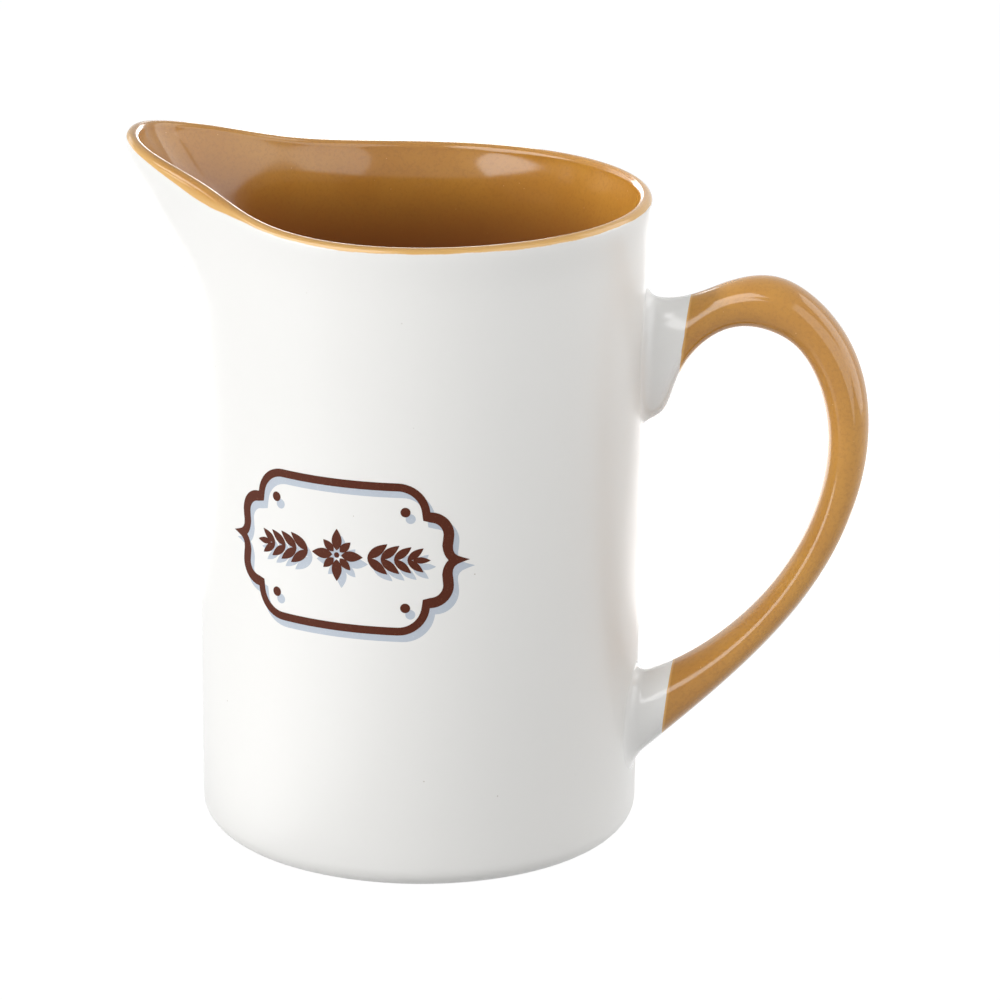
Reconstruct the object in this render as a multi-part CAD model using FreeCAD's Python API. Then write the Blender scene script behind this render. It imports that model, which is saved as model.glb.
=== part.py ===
import FreeCAD, Part
import math
import os

# Stoneware jug: a straight-sided pot whose rim is pulled into a pouring lip,
# with a strap handle opposite.  The pot stands on z = 0 with its axis on +Z,
# the handle on +X and the spout on -X.  Millimetres and degrees.

# Pot
FOOT_RADIUS = 44.2          # outside of the wall at the foot
WALL_SPREAD = 0.3           # the wall is this much further out at the rim, before the lip flares
RIM_HEIGHT = 129.55         # edge of the lip at the back
EDGE_TILT = 1.4             # the edge falls this much from back to front, before the spout lifts it
WALL = 3.6
FLOOR = 5.5
FOOT_ROUND = 4.5            # outside corner between wall and foot
BOWL_ROUND = 8.0            # inside corner between wall and floor

# Lip
LIP_THICKNESS = 2.6
LIP_FLARE = 0.7
FLARE_DEPTH = 5.0
LIP_TAPER_DEPTH = 12.0      # the wall thins to the lip over this depth
LIP_TAPER_BEND = 1.6        # 1 thins it evenly, more thins it mostly beside the lip

# Spout
SPOUT_REACH = 13.7          # how far the edge is pulled out past the wall
SPOUT_RISE = 12.0           # how far its tip stands above the rest of the edge
SPOUT_DEPTH = 33.0          # the throat runs into the wall this far under the edge
SPOUT_HALF_ANGLE = 23.5     # half width of the pulled part, round the axis
SPOUT_BLUNTNESS = 2.4       # 2 is a bell curve, larger is flatter across its top
RISE_HALF_ANGLE = 39.5      # half width of the rising part of the edge
RISE_BLUNTNESS = 1.8

# Foot ring
RING_WIDTH = 5.0
RECESS_DEPTH = 1.6
RECESS_SLOPE = 1.2

# Handle
HANDLE_REACH = 45.2         # outermost face of the grip, from the wall
HANDLE_LOW = 22.8           # middle of the lower root above the foot
HANDLE_DROP = 19.4          # middle of the arch below the edge of the lip
HANDLE_SEAT = 1.7           # how far the roots sit in the wall
HANDLE_LEAN = 3.5           # the handle was set on slightly out of upright
HANDLE_SHIFT = 0.5          # and slightly to one side
UPPER_ROOT_HEIGHT = 25.5
LUG_HEIGHT = 21.8
NECK_THICKNESS = 15.5
RISE_THICKNESS = 9.6
ARCH_THICKNESS = 10.6
SHOULDER_THICKNESS = 9.2
GRIP_THICKNESS = 8.3
TAIL_THICKNESS = 7.2
LOWER_ROOT_HEIGHT = 18.3
NECK_WIDTH = 10.5
GRIP_WIDTH = 13.5
STRAP_BLUNTNESS = 2.2       # 2 is an ellipse, larger is squarer
ROOT_FILLET = 2.4

COLUMNS = 60                # points round the pot
STRAP_COLUMNS = 32          # points round the handle
TURN_STEP = 15              # degrees between rows at the round corners
SLOPE_STEP = 0.01           # distance, or angle, over which a slope is measured
TOUCH = 0.01                # an edge this near to a skin lies on it


def vector(x, y, z):
    return FreeCAD.Vector(x, y, z)


def skin(rows, row_places):
    """One smooth surface through closed rows of points, joined in order."""
    count = len(rows[0])
    turn = [i / count for i in range(count + 1)]
    rings = []
    for row in rows:
        ring = Part.BSplineCurve()
        ring.interpolate(Points=row, PeriodicFlag=True, Parameters=turn)
        rings.append(ring)
    columns = []
    for place in range(rings[0].NbPoles):
        line = Part.BSplineCurve()
        line.interpolate(Points=[ring.getPole(place + 1) for ring in rings], Parameters=row_places)
        columns.append(line)
    surface = Part.BSplineSurface()
    surface.buildFromPolesMultsKnots(
        [line.getPoles() for line in columns],
        rings[0].getMultiplicities(), columns[0].getMultiplicities(),
        rings[0].getKnots(), columns[0].getKnots(), True, False, 3, 3)
    return surface


def close_skin(surface, cuts=()):
    """A solid from a skin whose first and last rows are flat, in bands that part at the cuts."""
    first, last = surface.bounds()[2:]
    marks = [first] + list(cuts) + [last]
    faces = [Part.Face(Part.Wire([surface.vIso(place).toShape()])) for place in (first, last)]
    for start, end in zip(marks, marks[1:]):
        band = surface.copy()
        band.segment(0, 1, start, end)
        faces.append(band.toShape())
    shell = Part.makeShell(faces)
    shell.sewShape()
    solid = Part.makeSolid(shell)
    if solid.Volume < 0:
        solid.reverse()
    return solid


def places_along(rows):
    """Where each row lies between the first and the last, by mean distance."""
    steps = [0.0]
    for before, after in zip(rows, rows[1:]):
        gaps = [(b - a).Length for a, b in zip(before, after)]
        steps.append(steps[-1] + sum(gaps) / len(gaps))
    return [step / steps[-1] for step in steps]


# Pot: the outside is a radius for each angle and height

def from_spout(angle):
    """Degrees away from the spout's middle, 0 to 180."""
    return abs((angle % 360) - 180)


def hump(angle, half_angle, bluntness):
    """1 at the spout's middle, falling to 0 beside it."""
    return math.exp(-(from_spout(angle) / half_angle) ** bluntness)


def edge_height(angle):
    fall = EDGE_TILT * (1 - math.cos(math.radians(angle))) / 2
    return RIM_HEIGHT - fall + SPOUT_RISE * hump(angle, RISE_HALF_ANGLE, RISE_BLUNTNESS)


def outside(angle, height):
    """A point on the outside of the wall."""
    depth = edge_height(angle) - height
    radius = FOOT_RADIUS + WALL_SPREAD * height / RIM_HEIGHT
    radius += LIP_FLARE * math.exp(-(depth / FLARE_DEPTH) ** 2)
    throat = (1 + math.cos(math.pi * min(depth / SPOUT_DEPTH, 1))) / 2
    radius += SPOUT_REACH * throat * hump(angle, SPOUT_HALF_ANGLE, SPOUT_BLUNTNESS)
    turn = math.radians(angle)
    return vector(radius * math.cos(turn), radius * math.sin(turn), height)


def outward(angle, height):
    """The direction square to the outside of the wall there."""
    along = outside(angle + SLOPE_STEP, height) - outside(angle - SLOPE_STEP, height)
    up = outside(angle, height + SLOPE_STEP) - outside(angle, height - SLOPE_STEP)
    return along.cross(up).normalize()


def pot_bands():
    """Rows of points from the foot, up the outside, over the lip and down to the floor.

    The rows come in bands, which become the faces of the pot.
    """
    angles = [90 + 360 * i / COLUMNS for i in range(COLUMNS)]

    def level(place, share, start):
        return [place(angle, climb(angle, start, share)) for angle in angles]

    def below_edge(place, depth):
        return [place(angle, edge_height(angle) - depth) for angle in angles]

    def rounded(corner, radius, height, wall):
        inwards = wall + radius * (1 - math.sin(math.radians(corner)))
        height += radius * (1 - math.cos(math.radians(corner)))
        return [shrink(outside(angle, height), inwards) for angle in angles]

    throat = [SPOUT_DEPTH * share for share in (1, 0.9, 0.8, 0.7, 0.6, 0.5, 0.4)]
    brim = [SPOUT_DEPTH * share for share in (0.3, 0.2, 0.1, 0.04)]
    bowl = FLOOR + BOWL_ROUND

    foot = [rounded(corner, FOOT_ROUND, 0, 0) for corner in range(0, 90, TURN_STEP)]
    low_wall = [level(outside, share, FOOT_ROUND) for share in (0, 0.05, 0.2, 0.4)]
    high_wall = [level(outside, share, FOOT_ROUND) for share in (0.6, 0.8)]
    high_wall += [below_edge(outside, depth) for depth in throat]
    outer_brim = [below_edge(outside, depth) for depth in brim]
    lip = [[lip_point(angle, turn) for angle in angles] for turn in range(0, 180, 2 * TURN_STEP)]
    inner_brim = [below_edge(inside, depth) for depth in [0] + brim[::-1]]
    high_bowl = [below_edge(inside, depth) for depth in throat[::-1]]
    low_bowl = [level(inside, share, bowl) for share in (0.8, 0.6, 0.4, 0.2, 0.05)]
    floor = [rounded(corner, BOWL_ROUND, FLOOR, WALL) for corner in range(90, -TURN_STEP, -TURN_STEP)]
    return [foot, low_wall, high_wall, outer_brim, lip, inner_brim, high_bowl, low_bowl, floor]


def climb(angle, start, share):
    """A height between the start and the foot of the spout's throat."""
    return start + (edge_height(angle) - SPOUT_DEPTH - start) * share


def shrink(point, distance):
    """The same point moved level towards the axis."""
    radius = math.hypot(point.x, point.y)
    scale = (radius - distance) / radius
    return vector(point.x * scale, point.y * scale, point.z)


def wall_thickness(depth):
    thinned = max(1 - depth / LIP_TAPER_DEPTH, 0) ** LIP_TAPER_BEND
    return WALL - (WALL - LIP_THICKNESS) * thinned


def inside(angle, height):
    """A point on the inside of the wall, square in from the outside."""
    depth = edge_height(angle) - height
    return outside(angle, height) - outward(angle, height) * wall_thickness(depth)


def lip_point(angle, turn):
    """A point on the half round that joins the outside of the lip to its inside."""
    height = edge_height(angle)
    out = outward(angle, height)
    before = outside(angle - SLOPE_STEP, edge_height(angle - SLOPE_STEP))
    after = outside(angle + SLOPE_STEP, edge_height(angle + SLOPE_STEP))
    along = (after - before).normalize()
    up = out.cross(along).normalize()
    if up.z < 0:
        up = up * -1
    radius = LIP_THICKNESS / 2
    centre = outside(angle, height) - out * radius
    turn = math.radians(turn)
    return centre + out * (radius * math.cos(turn)) + up * (radius * math.sin(turn))


def make_pot():
    bands = pot_bands()
    rows = [row for band in bands for row in band]
    places = places_along(rows)
    cuts = []
    passed = 0
    for band in bands[:-1]:
        passed += len(band)
        cuts.append(places[passed])
    pot = close_skin(skin(rows, places), cuts)
    ring_inner = FOOT_RADIUS - FOOT_ROUND - RING_WIDTH
    recess = Part.makeCone(ring_inner, ring_inner - RECESS_SLOPE, RECESS_DEPTH)
    return pot.cut(recess)


# Handle: a strap that follows ribs, each a flattened ring

def handle_ribs():
    """From the upper root to the lower: each rib's distance out, height, tilt, thickness and width.

    The curve is drawn in shares of the handle's reach and rise.  The first and last ribs
    are the roots, which sit in the wall.
    """
    reach = HANDLE_REACH - GRIP_THICKNESS / 2
    rise = RIM_HEIGHT - HANDLE_DROP - HANDLE_LOW
    seat = -HANDLE_SEAT / reach
    middle_width = (NECK_WIDTH + GRIP_WIDTH) / 2
    curve = [
        (seat, 0.867, 0, UPPER_ROOT_HEIGHT, middle_width),
        (0.117, 0.874, 0, LUG_HEIGHT, NECK_WIDTH),
        (0.224, 0.927, 10, NECK_THICKNESS, NECK_WIDTH),
        (0.404, 0.989, 4, RISE_THICKNESS, NECK_WIDTH),
        (0.637, 0.993, 5, ARCH_THICKNESS, middle_width),
        (0.871, 0.907, 45, SHOULDER_THICKNESS, GRIP_WIDTH),
        (1.0, 0.716, 85, GRIP_THICKNESS, GRIP_WIDTH),
        (0.89, 0.459, 110, TAIL_THICKNESS, GRIP_WIDTH),
        (0.557, 0.227, 143, TAIL_THICKNESS, GRIP_WIDTH),
        (seat, 0.0, 180, LOWER_ROOT_HEIGHT, GRIP_WIDTH),
    ]
    ribs = []
    for out, up, tilt, thickness, width in curve:
        ribs.append((FOOT_RADIUS + out * reach, HANDLE_LOW + up * rise, tilt, thickness, width))
    return ribs


def rib_points(rib):
    out, height, tilt, thickness, width = rib
    points = []
    for i in range(STRAP_COLUMNS):
        turn = 2 * math.pi * i / STRAP_COLUMNS
        across = blunt(math.cos(turn)) * thickness / 2
        side = blunt(math.sin(turn)) * width / 2
        x = out + across * math.sin(math.radians(tilt))
        z = height + across * math.cos(math.radians(tilt))
        points.append(vector(x, side + lean_at(z), z))
    return points


def blunt(share):
    return math.copysign(abs(share) ** (2 / STRAP_BLUNTNESS), share)


def lean_at(height):
    middle = (RIM_HEIGHT - HANDLE_DROP + HANDLE_LOW) / 2
    return HANDLE_SHIFT + (height - middle) * math.tan(math.radians(HANDLE_LEAN))


def make_handle():
    rows = [rib_points(rib) for rib in handle_ribs()]
    return close_skin(skin(rows, places_along(rows)))


def root_edges(shape, pot, handle):
    """The edges of the shape that lie on both skins, where the handle leaves the wall."""
    found = []
    for edge in shape.Edges:
        middle = Part.Vertex(edge.valueAt((edge.FirstParameter + edge.LastParameter) / 2))
        gaps = [solid.Shells[0].distToShape(middle)[0] for solid in (pot, handle)]
        if max(gaps) < TOUCH:
            found.append(edge)
    return found


def make_jug():
    pot = make_pot()
    handle = make_handle()
    jug = pot.fuse(handle)
    return jug.makeFillet(ROOT_FILLET, root_edges(jug, pot, handle))


os.makedirs("parts", exist_ok=True)
make_jug().exportStep("parts/jug.step")
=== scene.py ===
import math

import bmesh
import bpy
import numpy as np
from mathutils import Matrix, Vector


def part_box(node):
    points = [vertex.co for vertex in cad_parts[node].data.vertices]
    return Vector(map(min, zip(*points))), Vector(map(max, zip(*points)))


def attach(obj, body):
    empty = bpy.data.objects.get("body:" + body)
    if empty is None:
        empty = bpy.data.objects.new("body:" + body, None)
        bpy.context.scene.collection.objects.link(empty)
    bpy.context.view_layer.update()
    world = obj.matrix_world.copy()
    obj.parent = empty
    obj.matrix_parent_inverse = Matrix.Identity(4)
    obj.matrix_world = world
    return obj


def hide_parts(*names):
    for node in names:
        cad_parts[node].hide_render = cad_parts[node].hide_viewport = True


# A straight-sided stoneware jug: white satin glaze outside, caramel gloss inside, on the lip
# and on the middle of the handle, and a printed plaque on the front.  The pot's axis is +Z,
# the handle is on +X and the spout on -X.

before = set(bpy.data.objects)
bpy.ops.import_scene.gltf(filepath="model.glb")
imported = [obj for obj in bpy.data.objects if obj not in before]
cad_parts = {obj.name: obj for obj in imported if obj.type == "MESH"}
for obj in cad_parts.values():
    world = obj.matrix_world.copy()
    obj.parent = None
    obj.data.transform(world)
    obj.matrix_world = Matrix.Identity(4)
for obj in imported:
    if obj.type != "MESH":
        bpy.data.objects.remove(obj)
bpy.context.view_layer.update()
jug_low, jug_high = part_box("jug")

MM = 0.001

# Pot, from the outer box of the solid inwards
WALL = 3.6 * MM
FLOOR = 5.5 * MM
FOOT_RADIUS = 44.2 * MM
FOOT_ROUND = 4.5 * MM
BOWL_ROUND = 8.0 * MM
RING_WIDTH = 5.0 * MM
RECESS_DEPTH = 1.6 * MM
RECESS_SLOPE = 1.2 * MM
LIP_THICKNESS = 2.6 * MM
LIP_FLARE = 0.7 * MM
FLARE_DEPTH = 5.0 * MM
LIP_TAPER_DEPTH = 12.0 * MM
LIP_TAPER_BEND = 1.6
SPOUT_RISE = 12.0 * MM
SPOUT_DEPTH = 33.0 * MM
SPOUT_HALF_ANGLE = 23.5
SPOUT_BLUNTNESS = 2.4
RISE_HALF_ANGLE = 39.5
RISE_BLUNTNESS = 1.8
EDGE_TILT = 1.4 * MM
RIM_HEIGHT = jug_high.z - SPOUT_RISE + EDGE_TILT - LIP_THICKNESS / 2
SHOULDER_RADIUS = jug_high.y - LIP_FLARE
SPOUT_REACH = -jug_low.x - jug_high.y
COLUMNS = 240

# Glaze lines, measured along the skin from the lip's outer shoulder, downwards
LIP_LINE = -0.40 * MM           # most of the way round it stops on the half round of the lip
TIP_LINE = -0.50 * MM
FLANK_SAG = 1.95 * MM           # it has run down beside the spout
FLANK_ANGLE = 30.0
FLANK_HALF_ANGLE = 12.0
LINE_WANDER = 0.07 * MM

# Handle
HANDLE_REACH = jug_high.x - FOOT_RADIUS
HANDLE_LOW = 22.8 * MM
HANDLE_DROP = 19.4 * MM
HANDLE_SEAT = 1.7 * MM
HANDLE_LEAN = 3.5
HANDLE_SHIFT = 0.5 * MM
UPPER_ROOT_HEIGHT = 25.5 * MM
LUG_HEIGHT = 21.8 * MM
NECK_THICKNESS = 15.5 * MM
RISE_THICKNESS = 9.6 * MM
ARCH_THICKNESS = 10.6 * MM
SHOULDER_THICKNESS = 9.2 * MM
GRIP_THICKNESS = 8.3 * MM
TAIL_THICKNESS = 7.2 * MM
LOWER_ROOT_HEIGHT = 18.3 * MM
NECK_WIDTH = 10.5 * MM
GRIP_WIDTH = 13.5 * MM
STRAP_BLUNTNESS = 2.2
ROOT_FILLET = 2.4 * MM
STRAP_COLUMNS = 48
STRAP_ROWS = 120
UPPER_LINE = (52.5 * MM, 104.6 * MM)    # x and z of a point on each glaze line of the handle
LOWER_LINE = (50.9 * MM, 28.4 * MM)
LINE_MIDDLE = (UPPER_LINE[1] + LOWER_LINE[1]) / 2
LINE_SLOPE = 6.15                       # both lines lean this much from upright

# Plaque
PLAQUE_ANGLE = -103.4
PLAQUE_HEIGHT = 68.6 * MM
PRINT_DEPTH = 0.06 * MM
PRINT_LIFT = 0.048 * MM         # the brown print lies over its grey shadow
SHADOW_LIFT = 0.018 * MM
SHADOW_OFFSET = (1.0 * MM, -1.3 * MM)


# ---------------------------------------------------------------- pot

def from_spout(angle):
    """Degrees away from the spout's middle, 0 to 180."""
    return abs((angle % 360) - 180)


def hump(angle, half_angle, bluntness):
    """1 at the spout's middle, falling to 0 beside it."""
    return math.exp(-(from_spout(angle) / half_angle) ** bluntness)


def edge_height(angle):
    fall = EDGE_TILT * (1 - math.cos(math.radians(angle))) / 2
    return RIM_HEIGHT - fall + SPOUT_RISE * hump(angle, RISE_HALF_ANGLE, RISE_BLUNTNESS)


def plain_radius(height):
    """Outside of the wall away from lip and spout."""
    return FOOT_RADIUS + (SHOULDER_RADIUS - FOOT_RADIUS) * height / RIM_HEIGHT


def outside(angle, height):
    """A point on the outside of the wall."""
    depth = edge_height(angle) - height
    radius = plain_radius(height) + LIP_FLARE * math.exp(-(depth / FLARE_DEPTH) ** 2)
    throat = (1 + math.cos(math.pi * min(depth / SPOUT_DEPTH, 1))) / 2
    radius += SPOUT_REACH * throat * hump(angle, SPOUT_HALF_ANGLE, SPOUT_BLUNTNESS)
    turn = math.radians(angle)
    return Vector((radius * math.cos(turn), radius * math.sin(turn), height))


def outward(angle, height):
    """The direction square to the outside of the wall there."""
    turn, rise = 0.01, 0.01 * MM
    along = outside(angle + turn, height) - outside(angle - turn, height)
    up = outside(angle, height + rise) - outside(angle, height - rise)
    return along.cross(up).normalized()


def inside(angle, height):
    """A point on the inside of the wall, square in from the outside."""
    depth = edge_height(angle) - height
    thinned = max(1 - depth / LIP_TAPER_DEPTH, 0) ** LIP_TAPER_BEND
    thickness = WALL - (WALL - LIP_THICKNESS) * thinned
    return outside(angle, height) - outward(angle, height) * thickness


def lip_point(angle, turn):
    """A point on the half round of the lip, from its outer shoulder at 0 to its inner at pi."""
    step = 0.01
    out = outward(angle, edge_height(angle))
    before = outside(angle - step, edge_height(angle - step))
    after = outside(angle + step, edge_height(angle + step))
    up = out.cross((after - before).normalized()).normalized()
    if up.z < 0:
        up = -up
    radius = LIP_THICKNESS / 2
    centre = outside(angle, edge_height(angle)) - out * radius
    return centre + out * (radius * math.cos(turn)) + up * (radius * math.sin(turn))


def over_lip(angle, run):
    """A point on the skin, this far down from the lip's outer shoulder.  Less than 0 is over the lip."""
    radius = LIP_THICKNESS / 2
    if run >= 0:
        return outside(angle, edge_height(angle) - run)
    if run > -math.pi * radius:
        return lip_point(angle, -run / radius)
    return inside(angle, edge_height(angle) + run + math.pi * radius)


def shrink(point, distance):
    """The same point moved level towards the axis."""
    radius = math.hypot(point.x, point.y)
    scale = (radius - distance) / radius
    return Vector((point.x * scale, point.y * scale, point.z))


def glaze_line(angle):
    """How far down from the lip's outer shoulder the caramel glaze reaches."""
    away = from_spout(angle)
    line = LIP_LINE + (TIP_LINE - LIP_LINE) * math.exp(-(away / 14) ** 2)
    line += FLANK_SAG * math.exp(-((away - FLANK_ANGLE) / FLANK_HALF_ANGLE) ** 2)
    turn = math.radians(angle)
    wander = math.sin(7 * turn + 1.3) + 0.6 * math.sin(17 * turn) + 0.45 * math.sin(43 * turn + 2.0)
    return line + LINE_WANDER * wander


def pot_rings():
    """The pot's rings from the underside, up the outside, over the lip and down to the floor.

    With each ring goes how far each of its points lies from the glaze line, white side
    positive, and the finish of the faces that come after it.
    """
    angles = [360 * i / COLUMNS for i in range(COLUMNS)]
    rings = []

    def add(finish, points, from_line):
        rings.append((finish, points, from_line))

    def round_corner(turn, radius, height, wall):
        inwards = wall + radius * (1 - math.sin(turn))
        height += radius * (1 - math.cos(turn))
        return [shrink(outside(angle, height), inwards) for angle in angles]

    def disc(radius, height):
        turns = [math.radians(angle) for angle in angles]
        return [Vector((radius * math.cos(t), radius * math.sin(t), height)) for t in turns]

    far = [20 * MM] * COLUMNS
    # deep gives the bowl's lower part the full painted shade of the caramel
    deep = [-40 * MM] * COLUMNS
    ring_outer = FOOT_RADIUS - FOOT_ROUND
    ring_inner = ring_outer - RING_WIDTH
    recess = ring_inner - RECESS_SLOPE
    for radius in (2 * MM, recess * 0.5, recess - 0.4 * MM):
        add("white", disc(radius, RECESS_DEPTH), far)
    add("white", disc(recess, RECESS_DEPTH - 0.15 * MM), far)
    add("bare", disc(ring_inner - 0.3 * MM, 0.4 * MM), far)
    add("bare", disc(ring_inner, 0.1 * MM), far)
    add("bare", disc(ring_inner + 0.3 * MM, 0), far)
    for share in (0.33, 0.67, 1):
        add("bare", disc(ring_inner + RING_WIDTH * share, 0), far)
    for step in range(1, 12):
        turn = math.radians(90 * step / 12)
        finish = "bare" if step < 3 else "white"
        add(finish, round_corner(turn, FOOT_ROUND, 0, 0), far)

    throat = 8 * MM
    for share in np.linspace(0, 1, 22)[:-1]:
        heights = [FOOT_ROUND + (edge_height(a) - SPOUT_DEPTH - FOOT_ROUND) * share for a in angles]
        add("white", [outside(a, h) for a, h in zip(angles, heights)], far)
    for depth in np.linspace(SPOUT_DEPTH, throat, 18)[:-1]:
        add("white", [over_lip(a, depth) for a in angles], far)

    lines = [glaze_line(a) for a in angles]
    for share in (1, 0.85, 0.7, 0.56, 0.44, 0.34, 0.26, 0.19, 0.13, 0.08, 0.04):
        runs = [line + (throat - line) * share for line in lines]
        gaps = [run - line for run, line in zip(runs, lines)]
        add("white", [over_lip(a, run) for a, run in zip(angles, runs)], gaps)
    over = -math.pi * LIP_THICKNESS / 2
    for share in (0, 0.05, 0.11, 0.18, 0.26, 0.35, 0.45, 0.55, 0.65, 0.75, 0.85, 0.93, 1):
        runs = [line + (over - line) * share for line in lines]
        gaps = [run - line for run, line in zip(runs, lines)]
        add("caramel", [over_lip(a, run) for a, run in zip(angles, runs)], gaps)
    # down the inside each ring keeps its depth below the lip, which the caramel turns into painted shade
    for depth in (0.5, 1.1, 1.9, 2.9, 4.1, 5.5, 7.0, *np.linspace(8.5, SPOUT_DEPTH / MM, 16)):
        run = over - depth * MM
        add("caramel", [over_lip(a, run) for a in angles], [run] * COLUMNS)
    bowl = FLOOR + BOWL_ROUND
    for share in np.linspace(1, 0, 22)[1:-1]:
        heights = [bowl + (edge_height(a) - SPOUT_DEPTH - bowl) * share for a in angles]
        add("caramel", [inside(a, h) for a, h in zip(angles, heights)], deep)
    for step in range(12, -1, -1):
        add("caramel", round_corner(math.radians(90 * step / 12), BOWL_ROUND, FLOOR, WALL), deep)
    floor = plain_radius(FLOOR) - WALL - BOWL_ROUND
    for share in (0.8, 0.6, 0.4, 0.2, 0.06):
        add("caramel", disc(floor * share, FLOOR), deep)
    return rings


# ---------------------------------------------------------------- handle

def handle_ribs():
    """From the upper root to the lower: each rib's distance out, height, tilt, thickness and width."""
    reach = HANDLE_REACH - GRIP_THICKNESS / 2
    rise = RIM_HEIGHT - HANDLE_DROP - HANDLE_LOW
    seat = -HANDLE_SEAT / reach
    middle_width = (NECK_WIDTH + GRIP_WIDTH) / 2
    curve = [
        (seat, 0.867, 0, UPPER_ROOT_HEIGHT, middle_width),
        (0.117, 0.874, 0, LUG_HEIGHT, NECK_WIDTH),
        (0.224, 0.927, 10, NECK_THICKNESS, NECK_WIDTH),
        (0.404, 0.989, 4, RISE_THICKNESS, NECK_WIDTH),
        (0.637, 0.993, 5, ARCH_THICKNESS, middle_width),
        (0.871, 0.907, 45, SHOULDER_THICKNESS, GRIP_WIDTH),
        (1.0, 0.716, 85, GRIP_THICKNESS, GRIP_WIDTH),
        (0.89, 0.459, 110, TAIL_THICKNESS, GRIP_WIDTH),
        (0.557, 0.227, 143, TAIL_THICKNESS, GRIP_WIDTH),
        (seat, 0.0, 180, LOWER_ROOT_HEIGHT, GRIP_WIDTH),
    ]
    ribs = []
    for out, up, tilt, thickness, width in curve:
        ribs.append((FOOT_RADIUS + out * reach, HANDLE_LOW + up * rise, tilt, thickness, width))
    return ribs


def blunt(share):
    return math.copysign(abs(share) ** (2 / STRAP_BLUNTNESS), share)


def lean_at(height):
    middle = (RIM_HEIGHT - HANDLE_DROP + HANDLE_LOW) / 2
    return HANDLE_SHIFT + (height - middle) * math.tan(math.radians(HANDLE_LEAN))


def rib_points(rib):
    out, height, tilt, thickness, width = rib
    points = []
    for i in range(STRAP_COLUMNS):
        turn = 2 * math.pi * i / STRAP_COLUMNS
        across = blunt(math.cos(turn)) * thickness / 2
        side = blunt(math.sin(turn)) * width / 2
        x = out + across * math.sin(math.radians(tilt))
        z = height + across * math.cos(math.radians(tilt))
        points.append((x, side + lean_at(z), z))
    return points


class Strap:
    """The smooth skin through the handle's ribs.  A place along it runs from 0 to 1."""

    def __init__(self):
        self.ribs = np.array([rib_points(rib) for rib in handle_ribs()])
        steps = np.linalg.norm(np.diff(self.ribs, axis=0), axis=2).mean(axis=1)
        self.places = np.concatenate([[0], np.cumsum(steps)]) / steps.sum()
        self.slopes = self.find_slopes()

    def find_slopes(self):
        """How fast the skin moves at each rib, so that its bend never jumps."""
        places, ribs = self.places, self.ribs
        count = len(places)
        gaps = np.diff(places)
        chords = np.diff(ribs, axis=0) / gaps[:, None, None]
        matrix = np.eye(count)
        wanted = np.zeros_like(ribs)
        for i in range(1, count - 1):
            matrix[i, i - 1:i + 2] = gaps[i], 2 * (gaps[i - 1] + gaps[i]), gaps[i - 1]
            wanted[i] = 3 * (gaps[i] * chords[i - 1] + gaps[i - 1] * chords[i])
        wanted[0] = self.end_slope(places[:4], ribs[:4])
        wanted[-1] = self.end_slope(places[:-5:-1], ribs[:-5:-1])
        return np.linalg.solve(matrix, wanted.reshape(count, -1)).reshape(ribs.shape)

    @staticmethod
    def end_slope(places, ribs):
        cubic = np.polyfit(places - places[0], ribs.reshape(4, -1), 3)
        return cubic[2].reshape(ribs.shape[1:])

    def ring(self, places):
        """One ring of points, each column at its own place along the strap."""
        places = np.broadcast_to(places, STRAP_COLUMNS)
        rib = np.clip(np.searchsorted(self.places, places, side="right") - 1, 0, len(self.places) - 2)
        column = np.arange(STRAP_COLUMNS)
        gap = self.places[rib + 1] - self.places[rib]
        t = ((places - self.places[rib]) / gap)[:, None]
        gap = gap[:, None]
        start, end = self.ribs[rib, column], self.ribs[rib + 1, column]
        leave, arrive = self.slopes[rib, column] * gap, self.slopes[rib + 1, column] * gap
        return ((2 * t ** 3 - 3 * t ** 2 + 1) * start + (t ** 3 - 2 * t ** 2 + t) * leave
                + (3 * t ** 2 - 2 * t ** 3) * end + (t ** 3 - t ** 2) * arrive)

    def off_wall(self, distance, first, last):
        """For each column, the place between first and last that is this far off the pot's wall."""
        places = np.linspace(first, last, 240)
        gaps = np.array([wall_gap(self.ring(place)) for place in places])
        return np.array([np.interp(distance, gaps[:, i], places) for i in range(STRAP_COLUMNS)])


def wall_gap(points):
    """How far points stand off the outside of the pot's wall."""
    return np.hypot(points[:, 0], points[:, 1]) - plain_radius(points[:, 2])


def flared(points, ahead, gap, spread):
    """A ring beside the wall, widened by the fillet and set back at its distance off the wall."""
    round_about = np.roll(points, -1, axis=0) - np.roll(points, 1, axis=0)
    out = np.cross(round_about, ahead - points)
    radial = points * [1, 1, 0]
    radial /= np.linalg.norm(radial, axis=1)[:, None]
    out -= (out * radial).sum(axis=1)[:, None] * radial
    out /= np.linalg.norm(out, axis=1)[:, None]
    if ((points - points.mean(axis=0)) * out).sum() < 0:
        out = -out
    moved = points + out * spread
    scale = (plain_radius(moved[:, 2]) + gap) / np.hypot(moved[:, 0], moved[:, 1])
    return moved * np.stack([scale, scale, np.ones_like(scale)], axis=1)


def root_rings(strap, first, last):
    """Rings of the fillet from inside the wall to where it meets the plain strap."""
    rings = []
    step = (last - first) * 0.01
    places = strap.off_wall(0, first, last)
    ring = strap.ring(places)
    rings.append(flared(ring, strap.ring(places + step), -1.2 * MM, ROOT_FILLET))
    for part in range(9):
        turn = math.radians(90 - 11.25 * part)
        gap = ROOT_FILLET * (1 - math.sin(turn))
        spread = ROOT_FILLET * (1 - math.cos(turn))
        places = strap.off_wall(gap, first, last)
        lift = gap - (0.02 * MM if part == 0 else 0)
        rings.append(flared(strap.ring(places), strap.ring(places + step), lift, spread))
    return rings, places


def past_line(points, line):
    """How far points lie from a glaze line of the handle, white side positive."""
    slope = math.radians(LINE_SLOPE)
    x, z = line
    return (x - points[:, 0]) * math.cos(slope) + (points[:, 2] - z) * math.sin(slope)


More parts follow.
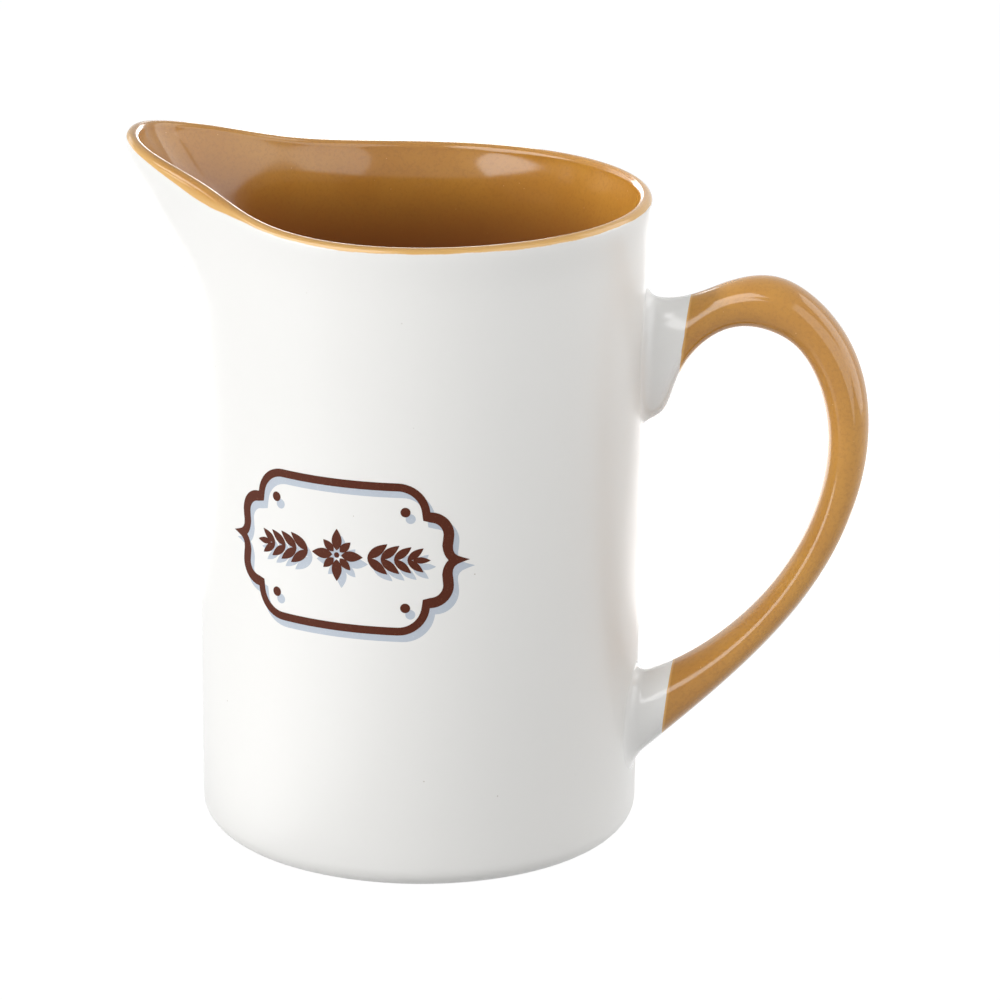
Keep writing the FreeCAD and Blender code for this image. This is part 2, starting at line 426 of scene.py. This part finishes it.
def handle_rings():
    strap = Strap()
    upper, start = root_rings(strap, 0, strap.places[1])
    lower, end = root_rings(strap, 1, strap.places[-2])
    rings = upper
    for share in np.linspace(0, 1, STRAP_ROWS + 1)[1:-1]:
        rings.append(strap.ring(start + (end - start) * share))
    rings += lower[::-1]
    dressed = []
    for ring in rings:
        line = UPPER_LINE if ring[:, 2].mean() > LINE_MIDDLE else LOWER_LINE
        dressed.append(("white", [Vector(point) for point in ring], past_line(ring, line)))
    return dressed


# ---------------------------------------------------------------- modelling

def clear_selection():
    bpy.ops.object.select_all(action="DESELECT")


def only(piece):
    clear_selection()
    piece.select_set(True)
    bpy.context.view_layer.objects.active = piece


def extruded(name, rings, finishes):
    """A closed skin: a disc extruded through the rings one after another.

    Faces take the finish of the ring that they start from, and each point keeps its
    distance from the glaze line.
    """
    count = len(rings[0][1])
    clear_selection()
    bpy.ops.mesh.primitive_circle_add(vertices=count, radius=1, fill_type="NGON", enter_editmode=True)
    piece = bpy.context.object
    piece.name = piece.data.name = name
    mesh = bmesh.from_edit_mesh(piece.data)
    mesh.verts.layers.int.new("column")
    mesh.verts.layers.int.new("ring")
    mesh.verts.layers.float.new("past_line")
    column = mesh.verts.layers.int["column"]
    mesh.verts.ensure_lookup_table()
    for i, vert in enumerate(mesh.verts):
        vert[column] = i
    bmesh.update_edit_mesh(piece.data)
    for number, (_, points, from_line) in enumerate(rings):
        if number:
            bpy.ops.mesh.extrude_region_move()
        mesh = bmesh.from_edit_mesh(piece.data)
        column = mesh.verts.layers.int["column"]
        ring = mesh.verts.layers.int["ring"]
        past = mesh.verts.layers.float["past_line"]
        for vert in mesh.verts:
            if vert.select:
                vert.co = points[vert[column]]
                vert[past] = from_line[vert[column]] / MM
                vert[ring] = number
        bmesh.update_edit_mesh(piece.data)
    mesh = bmesh.from_edit_mesh(piece.data)
    ring = mesh.verts.layers.int["ring"]
    for face in mesh.faces:
        finish = rings[min(vert[ring] for vert in face.verts)][0]
        face.material_index = finishes.index(finish)
        face.select = len(face.verts) > 4
    bmesh.update_edit_mesh(piece.data)
    bpy.ops.mesh.poke()
    bpy.ops.mesh.select_all(action="SELECT")
    bpy.ops.mesh.normals_make_consistent(inside=False)
    bpy.ops.object.mode_set(mode="OBJECT")
    piece.data.attributes.remove(piece.data.attributes["column"])
    piece.data.attributes.remove(piece.data.attributes["ring"])
    return piece


def smooth(piece, sharp=40):
    only(piece)
    bpy.ops.object.shade_smooth_by_angle(angle=math.radians(sharp))


def make_pot():
    pot = extruded("pot", pot_rings(), ["white", "caramel", "bare"])
    pot.data.materials.append(white_glaze())
    pot.data.materials.append(caramel_glaze())
    pot.data.materials.append(bare_stoneware())
    smooth(pot)
    return pot


def make_handle():
    handle = extruded("handle", handle_rings(), ["white", "caramel"])
    handle.data.materials.append(bpy.data.materials["white_glaze"])
    handle.data.materials.append(bpy.data.materials["caramel_glaze"])
    only(handle)
    bpy.ops.object.mode_set(mode="EDIT")
    slope = math.radians(LINE_SLOPE)
    for x, z in (UPPER_LINE, LOWER_LINE):
        mesh = bmesh.from_edit_mesh(handle.data)
        for face in mesh.faces:
            face.select = (face.calc_center_median().z > LINE_MIDDLE) == (z > LINE_MIDDLE)
        bmesh.update_edit_mesh(handle.data)
        bpy.ops.mesh.bisect(plane_co=(x, 0, z), plane_no=(math.cos(slope), 0, -math.sin(slope)))
    mesh = bmesh.from_edit_mesh(handle.data)
    past = mesh.verts.layers.float["past_line"]
    for face in mesh.faces:
        if sum(vert[past] for vert in face.verts) < 0:
            face.material_index = 1
    for vert in mesh.verts:
        if vert[past] < 0:      # the glaze is only thin close beside the line, and the painted shade of the bowl's depth stays off the handle
            vert[past] = max(4 * vert[past], -6)
    bmesh.update_edit_mesh(handle.data)
    bpy.ops.object.mode_set(mode="OBJECT")
    smooth(handle)
    return handle


# ---------------------------------------------------------------- plaque

def frame_quarter():
    """The plaque frame's upper right quarter, as pairs of outer and inner points."""
    half_line, lobe_inside = 0.8, 1.28
    corner, bend = Vector((12.1, 9.1)), 5.5
    lobe, lobe_bend = Vector((18.4, 5.1)), 3.8
    pairs = []
    for share in np.linspace(0, 1, 14)[:-1]:
        x = corner.x * share
        pairs.append(((x, corner.y + bend + half_line), (x, corner.y + bend - half_line)))
    for turn in np.radians(np.linspace(90, 6, 12)):
        pairs.append(tuple(
            (corner.x + (bend + side) * math.cos(turn), corner.y + (bend + side) * math.sin(turn))
            for side in (half_line, -half_line)))
    pairs.append(((18.4, 9.7), (17.0, 8.0)))
    for turn in np.radians(np.linspace(88, 0, 10)):
        pairs.append(tuple(
            (lobe.x + (lobe_bend + side) * math.cos(turn), lobe.y + (lobe_bend + side) * math.sin(turn))
            for side in (half_line, -lobe_inside)))
    pairs += [((22.9, 3.9), (20.8, 3.9)), ((22.75, 2.9), (20.7, 2.9)), ((22.8, 2.0), (20.85, 2.0)),
              ((23.1, 1.35), (21.1, 1.2)), ((23.7, 0.85), (21.45, 0.55)), ((24.7, 0.45), (21.75, 0.2)),
              ((26.1, 0.0), (21.9, 0.0))]
    return pairs


def frame_outlines():
    """The whole outer and inner outline, turning clockwise from the middle of the top."""
    quarter = frame_quarter()
    right = quarter + [((a[0], -a[1]), (b[0], -b[1])) for a, b in quarter[-2::-1]]
    left = [((-a[0], a[1]), (-b[0], b[1])) for a, b in right[-2:0:-1]]
    pairs = right + left
    return [pair[0] for pair in pairs], [pair[1] for pair in pairs]


def plaque_frame():
    """Two outlines bridged into one flat ring."""
    clear_selection()
    outlines = frame_outlines()
    count = len(outlines[0])
    bpy.ops.mesh.primitive_circle_add(vertices=count, radius=1, enter_editmode=True)
    bpy.ops.mesh.primitive_circle_add(vertices=count, radius=0.5)
    ring = bpy.context.object
    mesh = bmesh.from_edit_mesh(ring.data)
    mesh.verts.ensure_lookup_table()
    for number, outline in enumerate(outlines):
        for i, (x, y) in enumerate(outline):
            mesh.verts[number * count + i].co = Vector((x, y, 0)) * MM
    for edge in mesh.edges:
        edge.select = True
    bmesh.update_edit_mesh(ring.data)
    bpy.ops.mesh.bridge_edge_loops(number_cuts=2, interpolation="LINEAR")
    bpy.ops.object.mode_set(mode="OBJECT")
    return ring


def leaf(length, width, at, turn):
    """A pointed leaf from its stalk end, in a grid that can follow the wall."""
    clear_selection()
    bpy.ops.mesh.primitive_grid_add(x_subdivisions=10, y_subdivisions=2, size=1, enter_editmode=True)
    piece = bpy.context.object
    mesh = bmesh.from_edit_mesh(piece.data)
    for vert in mesh.verts:
        share = vert.co.x + 0.5
        swell = max(math.sin(math.pi * share ** 0.85), 0) ** 0.9
        vert.co.x = share * length
        vert.co.y *= width * swell
    bmesh.update_edit_mesh(piece.data)
    bpy.ops.mesh.select_all(action="SELECT")
    bpy.ops.mesh.remove_doubles(threshold=0.001 * MM)
    bpy.ops.object.mode_set(mode="OBJECT")
    piece.data.transform(Matrix.Translation(Vector((*at, 0))) @ Matrix.Rotation(turn, 4, "Z"))
    return piece


def dot(radius, at):
    clear_selection()
    bpy.ops.mesh.primitive_circle_add(vertices=24, radius=radius, fill_type="TRIFAN")
    piece = bpy.context.object
    piece.data.transform(Matrix.Translation(Vector((*at, 0))))
    piece.location = (0, 0, 0)
    return piece


def ornament():
    """A flower between two leafy sprays."""
    leaves, first_leaf, leaf_step = 4, 6.2 * MM, 2.6 * MM
    pieces = []
    for petal in range(8):
        turn = math.radians(45 * petal)
        long = petal % 2 == 0
        start = Vector((math.cos(turn), math.sin(turn))) * 0.9 * MM
        pieces.append(leaf((4.4 if long else 3.1) * MM, (2.1 if long else 1.6) * MM, start, turn))
    pieces.append(dot(0.55 * MM, (0, 0)))
    for side in (1, -1):
        for number in range(leaves):
            along = (first_leaf + leaf_step * number) * side
            for lean in (38, -38):
                turn = math.radians(lean if side > 0 else 180 - lean)
                size = 1 - 0.07 * number
                pieces.append(leaf(5.0 * size * MM, 1.9 * size * MM, (along, 0), turn))
        tip = (first_leaf + leaf_step * leaves - 1.5 * MM) * side
        pieces.append(leaf(3.4 * MM, 1.3 * MM, (tip, 0), 0 if side > 0 else math.pi))
    return pieces


def plaque_art():
    pieces = [plaque_frame()]
    for x in (-13.6, 13.6):
        for y in (-9.8, 9.6):
            pieces.append(dot(0.97 * MM, (x * MM, y * MM)))
    return pieces + ornament()


def printed(name, material, lift, shift=(0, 0)):
    """The plaque's artwork as one thin print laid round the wall."""
    pieces = plaque_art()
    clear_selection()
    for piece in pieces:
        piece.select_set(True)
    bpy.context.view_layer.objects.active = pieces[0]
    bpy.ops.object.join()
    art = bpy.context.object
    art.name = art.data.name = name
    bpy.ops.object.mode_set(mode="EDIT")
    bpy.ops.mesh.select_all(action="SELECT")
    bpy.ops.mesh.normals_make_consistent(inside=False)
    bpy.ops.object.mode_set(mode="OBJECT")
    for face in art.data.polygons:
        if face.normal.z < 0:
            face.flip()
    thick = art.modifiers.new("thickness", "SOLIDIFY")
    thick.thickness = PRINT_DEPTH
    thick.offset = 1
    bpy.ops.object.modifier_apply(modifier=thick.name)
    for vert in art.data.vertices:
        height = PLAQUE_HEIGHT + vert.co.y + shift[1]
        radius = plain_radius(height) + vert.co.z - PRINT_DEPTH + lift
        turn = math.radians(PLAQUE_ANGLE) + (vert.co.x + shift[0]) / plain_radius(height)
        vert.co = (radius * math.cos(turn), radius * math.sin(turn), height)
    art.data.materials.clear()
    art.data.materials.append(material)
    smooth(art)
    return art


# ---------------------------------------------------------------- finishes

class Nodes:
    """A short way to write a material's nodes."""

    def __init__(self, name):
        self.material = bpy.data.materials.new(name)
        self.material.use_nodes = True
        self.tree = self.material.node_tree
        self.shader = self.tree.nodes["Principled BSDF"]
        self.place = self.add("ShaderNodeTexCoord").outputs["Object"]

    def add(self, kind, **settings):
        node = self.tree.nodes.new(kind)
        for name, value in settings.items():
            setattr(node, name, value)
        return node

    def feed(self, socket, value):
        if isinstance(value, bpy.types.NodeSocket):
            self.tree.links.new(value, socket)
        else:
            socket.default_value = value

    def noise(self, scale, detail=2.0, roughness=0.5):
        node = self.add("ShaderNodeTexNoise")
        self.feed(node.inputs["Vector"], self.place)
        node.inputs["Scale"].default_value = scale
        node.inputs["Detail"].default_value = detail
        node.inputs["Roughness"].default_value = roughness
        return node.outputs["Fac"]

    def ramp(self, value, low, high, low_value=0.0, high_value=1.0):
        """value from low to high becomes low_value to high_value, and no further."""
        node = self.add("ShaderNodeMapRange", interpolation_type="SMOOTHSTEP")
        self.feed(node.inputs["Value"], value)
        node.inputs["From Min"].default_value = low
        node.inputs["From Max"].default_value = high
        node.inputs["To Min"].default_value = low_value
        node.inputs["To Max"].default_value = high_value
        return node.outputs["Result"]

    def maths(self, operation, first, second):
        node = self.add("ShaderNodeMath", operation=operation)
        self.feed(node.inputs[0], first)
        self.feed(node.inputs[1], second)
        return node.outputs[0]

    def mix(self, share, first, second):
        node = self.add("ShaderNodeMix", data_type="RGBA")
        self.feed(node.inputs[0], share)
        self.feed(node.inputs[6], first)
        self.feed(node.inputs[7], second)
        return node.outputs[2]

    def specks(self, scale, chance, size):
        """1 on small round specks, in this share of the cells of a pattern."""
        cells = self.add("ShaderNodeTexVoronoi")
        self.feed(cells.inputs["Vector"], self.place)
        cells.inputs["Scale"].default_value = scale
        split = self.add("ShaderNodeSeparateColor")
        self.feed(split.inputs[0], cells.outputs["Color"])
        chosen = self.maths("LESS_THAN", split.outputs[0], chance)
        near = self.ramp(cells.outputs["Distance"], size * 0.6, size, 1.0, 0.0)
        return self.maths("MULTIPLY", chosen, near)

    def line_distance(self):
        """Millimetres from the glaze line, white side positive."""
        return self.add("ShaderNodeAttribute", attribute_name="past_line").outputs["Fac"]

    def bump(self, height, strength, distance):
        node = self.add("ShaderNodeBump")
        self.feed(node.inputs["Height"], height)
        node.inputs["Strength"].default_value = strength
        node.inputs["Distance"].default_value = distance
        self.feed(self.shader.inputs["Normal"], node.outputs["Normal"])


WHITE = (0.83, 0.825, 0.805, 1)
SPECK = (0.52, 0.48, 0.43, 1)
CARAMEL = (0.58, 0.279, 0.045, 1)
CARAMEL_DEEP = (0.53, 0.243, 0.038, 1)
# dark caramel: random mottle, and painted shade deep in the bowl
CARAMEL_MOTTLE_AND_SHADE = (0.28, 0.100, 0.026, 1)
CARAMEL_THIN = (0.76, 0.45, 0.14, 1)
BARE_DARK = (0.62, 0.55, 0.45, 1)
BARE_PALE = (0.78, 0.72, 0.62, 1)
BARE_SPECK = (0.40, 0.30, 0.21, 1)
BROWN_INK = (0.090, 0.023, 0.012, 1)
BROWN_WORN = (0.17, 0.065, 0.04, 1)
GREY_INK = (0.50, 0.55, 0.62, 1)
GREY_WORN = (0.66, 0.70, 0.75, 1)


def white_glaze():
    n = Nodes("white_glaze")
    colour = n.mix(n.specks(430, 0.022, 0.07), WHITE, SPECK)
    uneven = n.maths("ADD", n.line_distance(), n.maths("MULTIPLY", n.noise(1500, 2), 0.22))
    stain = n.ramp(uneven, 0.12, 0.30, 0.75, 0.0)
    n.feed(n.shader.inputs["Base Color"], n.mix(stain, colour, CARAMEL_THIN))
    n.feed(n.shader.inputs["Roughness"], n.ramp(n.noise(90, 3), 0.3, 0.7, 0.29, 0.33))
    n.shader.inputs["IOR"].default_value = 1.5
    n.bump(n.noise(150, 2), 0.04, 0.02 * MM)
    return n.material


def caramel_glaze():
    n = Nodes("caramel_glaze")
    colour = n.mix(n.ramp(n.noise(45, 4, 0.6), 0.38, 0.64), CARAMEL_DEEP, CARAMEL)
    colour = n.mix(n.ramp(n.noise(1400, 3, 0.65), 0.46, 0.66, 0.0, 0.18), colour, CARAMEL_MOTTLE_AND_SHADE)
    colour = n.mix(n.specks(900, 0.06, 0.13), colour, CARAMEL_THIN)
    # painted shade: the caramel darkens down the inside of the bowl, fully dark from about 26 mm below the
    # glaze line
    colour = n.mix(n.ramp(n.line_distance(), -26, -5, 1.0, 0.0), colour, CARAMEL_MOTTLE_AND_SHADE)
    thin = n.ramp(n.line_distance(), -2.4, -0.2, 0.0, 0.85)
    n.feed(n.shader.inputs["Base Color"], n.mix(thin, colour, CARAMEL_THIN))
    n.feed(n.shader.inputs["Roughness"], n.ramp(n.noise(120, 3), 0.3, 0.7, 0.10, 0.13))
    n.shader.inputs["IOR"].default_value = 1.52
    n.bump(n.noise(170, 2), 0.10, 0.02 * MM)
    return n.material


def bare_stoneware():
    n = Nodes("bare_stoneware")
    colour = n.mix(n.noise(700, 4), BARE_DARK, BARE_PALE)
    n.feed(n.shader.inputs["Base Color"], n.mix(n.specks(900, 0.15, 0.2), colour, BARE_SPECK))
    n.feed(n.shader.inputs["Roughness"], n.ramp(n.noise(500, 3), 0.3, 0.7, 0.75, 0.9))
    n.bump(n.noise(1800, 3), 0.5, 0.06 * MM)
    return n.material


def print_ink(name, colour, worn):
    n = Nodes(name)
    grain = n.ramp(n.noise(2600, 2, 0.6), 0.55, 0.75, 0.0, 0.45)
    n.feed(n.shader.inputs["Base Color"], n.mix(grain, colour, worn))
    n.shader.inputs["Roughness"].default_value = 0.5
    n.shader.inputs["IOR"].default_value = 1.2
    return n.material


# ---------------------------------------------------------------- stage

def hang(data, place, facing):
    """Put a lamp in its place, turned the way it faces and hidden from the camera."""
    light = bpy.data.objects.new(data.name, data)
    bpy.context.scene.collection.objects.link(light)
    light.location = place
    light.rotation_euler = facing.to_track_quat("-Z", "Z").to_euler()
    light.visible_camera = False
    return light


def soft_light(name, place, facing, width, height, glow):
    data = bpy.data.lights.new(name, "AREA")
    data.shape = "RECTANGLE"
    data.size, data.size_y = width, height
    data.energy = glow * math.pi * width * height
    return hang(data, place, facing)


def towards(azimuth):
    """A level direction.  Azimuth 0 is in front of the jug, 90 at the handle."""
    turn = math.radians(azimuth)
    return Vector((math.sin(turn), -math.cos(turn), 0))


def panel(name, azimuth, low, high, distance, width, glow):
    """An upright soft panel that faces the jug, between two heights."""
    place = towards(azimuth) * distance + Vector((0, 0, (low + high) / 2))
    return soft_light(name, place, -towards(azimuth), width, high - low, glow)


def table_glow(name, azimuth, distance, size, glow):
    """A brightly lit patch of the table, which the glaze mirrors."""
    place = towards(azimuth) * distance + Vector((0, 0, 2 * MM))
    soft_light(name, place, Vector((0, 0, 1)), size, size, glow)


def inside_fill():
    """A narrow soft beam through the mouth on to the far wall of the bowl, with no reflection of its own."""
    data = bpy.data.lights.new("inside_fill", "SPOT")
    data.energy = 5.0
    data.spot_size = math.radians(12)
    data.spot_blend = 1.0
    data.shadow_soft_size = 0.03
    place = Vector((-0.20, -0.05, 0.42))
    far_wall = Vector((0.042, 0.014, 0.103))
    hang(data, place, far_wall - place).visible_glossy = False


def make_lights():
    """The left sheen shows only in the glazes' reflections."""
    panel("left_panel", -45, 0.08, 0.60, 0.9, 1.55, 4.3)
    panel("left_sheen", -45, 0.60, 1.30, 0.9, 1.55, 5.0).visible_diffuse = False
    panel("right_panel", 59, 0.22, 1.02, 0.8, 1.06, 1.65)
    panel("rim_panel", 116, 0.19, 0.70, 0.8, 0.95, 1.8)
    panel("rear_left_panel", -125, 0.19, 0.50, 0.9, 0.80, 1.35)
    panel("lip_glint", 192, 0.136, 0.18, 0.15, 0.07, 6.0)
    table_glow("back_glow", 190, 0.33, 0.42, 1.4)
    table_glow("left_glow", -45, 0.17, 0.17, 0.7)
    inside_fill()


def seen_white(tree, shown, otherwise):
    """What the camera and reflections see, and what lights the jug."""
    rays = tree.nodes.new("ShaderNodeLightPath")
    seen = rays.outputs["Is Camera Ray"]
    for kind in ("Is Glossy Ray", "Is Transmission Ray"):
        larger = tree.nodes.new("ShaderNodeMath")
        larger.operation = "MAXIMUM"
        tree.links.new(seen, larger.inputs[0])
        tree.links.new(rays.outputs[kind], larger.inputs[1])
        seen = larger.outputs[0]
    mix = tree.nodes.new("ShaderNodeMixShader")
    tree.links.new(seen, mix.inputs[0])
    tree.links.new(otherwise, mix.inputs[1])
    tree.links.new(shown, mix.inputs[2])
    return mix.outputs[0]


def make_world():
    world = bpy.data.worlds.new("studio")
    bpy.context.scene.world = world
    world.use_nodes = True
    tree = world.node_tree
    soft = tree.nodes["Background"]
    soft.inputs["Color"].default_value = (1, 1, 1, 1)
    soft.inputs["Strength"].default_value = 0.17
    white = tree.nodes.new("ShaderNodeBackground")
    white.inputs["Color"].default_value = (1, 1, 1, 1)
    white.inputs["Strength"].default_value = 1.0
    out = tree.nodes["World Output"]
    tree.links.new(seen_white(tree, white.outputs[0], soft.outputs[0]), out.inputs[0])


def make_floor():
    bpy.ops.mesh.primitive_plane_add(size=8, location=(0, 0, 0))
    floor = bpy.context.object
    floor.name = "floor"
    n = Nodes("pale_floor")
    n.shader.inputs["Base Color"].default_value = (0.45, 0.45, 0.45, 1)
    n.shader.inputs["Roughness"].default_value = 0.9
    glow = n.add("ShaderNodeEmission")
    glow.inputs["Strength"].default_value = 1.12
    blend = n.add("ShaderNodeMixShader")
    blend.inputs[0].default_value = 0.88
    n.tree.links.new(n.shader.outputs[0], blend.inputs[1])
    n.tree.links.new(glow.outputs[0], blend.inputs[2])
    out = n.tree.nodes["Material Output"]
    n.tree.links.new(seen_white(n.tree, blend.outputs[0], n.shader.outputs[0]), out.inputs[0])
    floor.data.materials.append(n.material)


def make_camera():
    azimuth, elevation = math.radians(6.954), math.radians(17.733)
    roll = math.radians(0.67)
    target = Vector((15.70, 2.43, 66.61)) * MM
    back = Vector((math.sin(azimuth) * math.cos(elevation),
                   -math.cos(azimuth) * math.cos(elevation), math.sin(elevation)))
    right = Vector((math.cos(azimuth), math.sin(azimuth), 0))
    up = back.cross(right)
    across = right * math.cos(roll) + up * math.sin(roll)
    upright = up * math.cos(roll) - right * math.sin(roll)
    data = bpy.data.cameras.new("camera")
    data.lens = 161.66
    data.sensor_width = 36
    data.clip_start = 0.05
    camera = bpy.data.objects.new("camera", data)
    bpy.context.scene.collection.objects.link(camera)
    turn = Matrix((across, upright, back)).transposed().to_4x4()
    camera.matrix_world = Matrix.Translation(target + back * 905.2 * MM) @ turn
    bpy.context.scene.camera = camera


# ---------------------------------------------------------------- assembly

make_camera()
make_world()
make_lights()
make_floor()
bpy.context.scene.view_settings.view_transform = "Standard"

pot = make_pot()
handle = make_handle()
shadow = printed("plaque_shadow", print_ink("grey_print", GREY_INK, GREY_WORN), SHADOW_LIFT, SHADOW_OFFSET)
plaque = printed("plaque_print", print_ink("brown_print", BROWN_INK, BROWN_WORN), PRINT_LIFT)

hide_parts("jug")
for piece, slot in ((pot, "white_glaze"), (handle, "caramel_glaze"),
                    (plaque, "brown_print"), (shadow, "grey_print")):
    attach(piece, "root")
